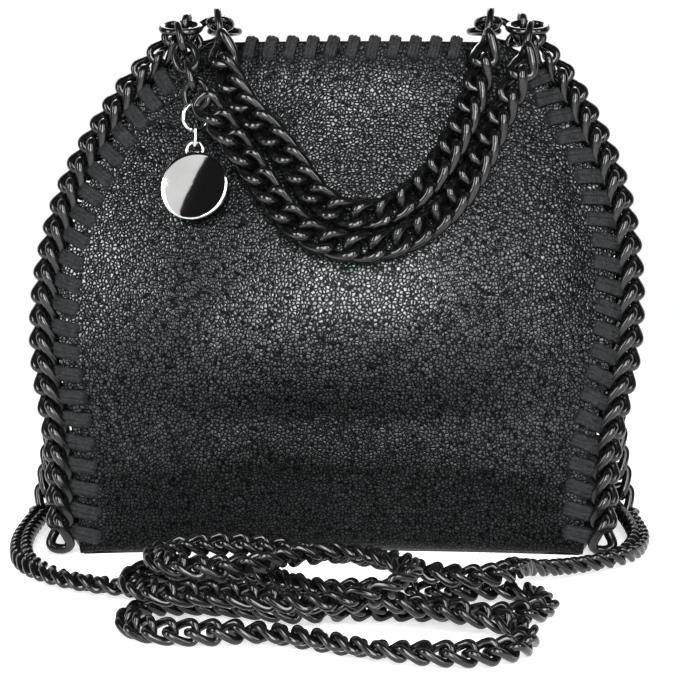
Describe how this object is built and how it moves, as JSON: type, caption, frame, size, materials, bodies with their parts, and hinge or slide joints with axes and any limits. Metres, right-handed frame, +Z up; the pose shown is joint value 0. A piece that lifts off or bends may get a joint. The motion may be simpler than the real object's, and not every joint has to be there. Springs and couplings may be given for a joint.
{
  "type": "chain shoulder bag",
  "caption": "Small gusseted leather shoulder bag with curb-chain edges laced on by thong, chain handles that swing, a long loose chain strap and a blank disc pendant.",
  "frame": {"origin": "centre of the base panel's underside, on the floor the bag stands on", "axes": "+Z up, front of the bag to -Y, +X to the right seen from the front"},
  "size_m": [0.2096, 0.1683, 0.1703],
  "materials": {
    "leather": "black crackled grain with a satin metallic glint",
    "thong": "matte charcoal flat thong",
    "lining": "plain dark woven lining",
    "board": "stiff base board",
    "snap": "dark plated magnetic snap",
    "chain": "polished black-nickel plated curb chain",
    "pendant": "mirror-polished bright silver"
  },
  "bodies": {
    "bag": {"front_panel": "leather", "back_panel": "leather", "base_panel": "leather", "left_gusset": "leather", "right_gusset": "leather", "front_left_lacing": "thong", "front_right_lacing": "thong", "back_left_lacing": "thong", "back_right_lacing": "thong", "front_top_lacing": "thong", "back_top_lacing": "thong", "base_lining": "lining", "front_lining": "lining", "back_lining": "lining", "base_board": "board", "snap_socket": "snap", "snap_stud": "snap", "front_left_edge_chain": "chain", "front_right_edge_chain": "chain", "back_left_edge_chain": "chain", "back_right_edge_chain": "chain", "front_left_corner_ring": "chain", "front_right_corner_ring": "chain", "back_left_corner_ring": "chain", "back_right_corner_ring": "chain", "left_strap_ring": "chain", "right_strap_ring": "chain", "strap_left_run": "chain", "strap_pile": "chain", "strap_right_run": "chain"},
    "front_handle": {"front_handle_chain": "chain", "pendant_carrier_link": "chain"},
    "back_handle_root": {"back_handle_root_links": "chain"},
    "back_handle": {"back_handle_chain": "chain"},
    "pendant_ring": {"pendant_ring": "pendant"},
    "pendant_link": {"pendant_link": "pendant"},
    "pendant_disc": {"pendant_disc": "pendant"}
  },
  "joints": [
    {"name": "front_handle_swing", "type": "hinge", "parent": "bag", "child": "front_handle", "pos_m": [0.007, -0.01486, 0.1624], "axis": [-1, 0, 0], "range_deg": [0, 150]},
    {"name": "back_handle_root_swing", "type": "hinge", "parent": "bag", "child": "back_handle_root", "pos_m": [0.007, 0.00346, 0.1652], "axis": [-1, 0, 0], "range_deg": [0, 90]},
    {"name": "back_handle_straighten", "type": "hinge", "parent": "back_handle_root", "child": "back_handle", "pos_m": [0.007, -0.01214, 0.16666], "axis": [-1, 0, 0], "range_deg": [0, 90]},
    {"name": "pendant_ring_swing", "type": "hinge", "parent": "front_handle", "child": "pendant_ring", "pos_m": [-0.04205, -0.02161, 0.13796], "axis": [-0.8491, 0.4706, 0.2401], "range_deg": [0, 60]},
    {"name": "pendant_link_swing", "type": "hinge", "parent": "pendant_ring", "child": "pendant_link", "pos_m": [-0.04155, -0.0218, 0.1319], "axis": [-0.9854, -0.1701, 0], "range_deg": [0, 25]},
    {"name": "pendant_disc_swing", "type": "hinge", "parent": "pendant_link", "child": "pendant_disc", "pos_m": [-0.04155, -0.02343, 0.12707], "axis": [0.1899, 0.9304, -0.3136], "range_deg": [0, 35]}
  ],
  "couplings": [
    {"joint": "back_handle_straighten", "follows": "back_handle_root_swing", "ratio": 1}
  ]
}
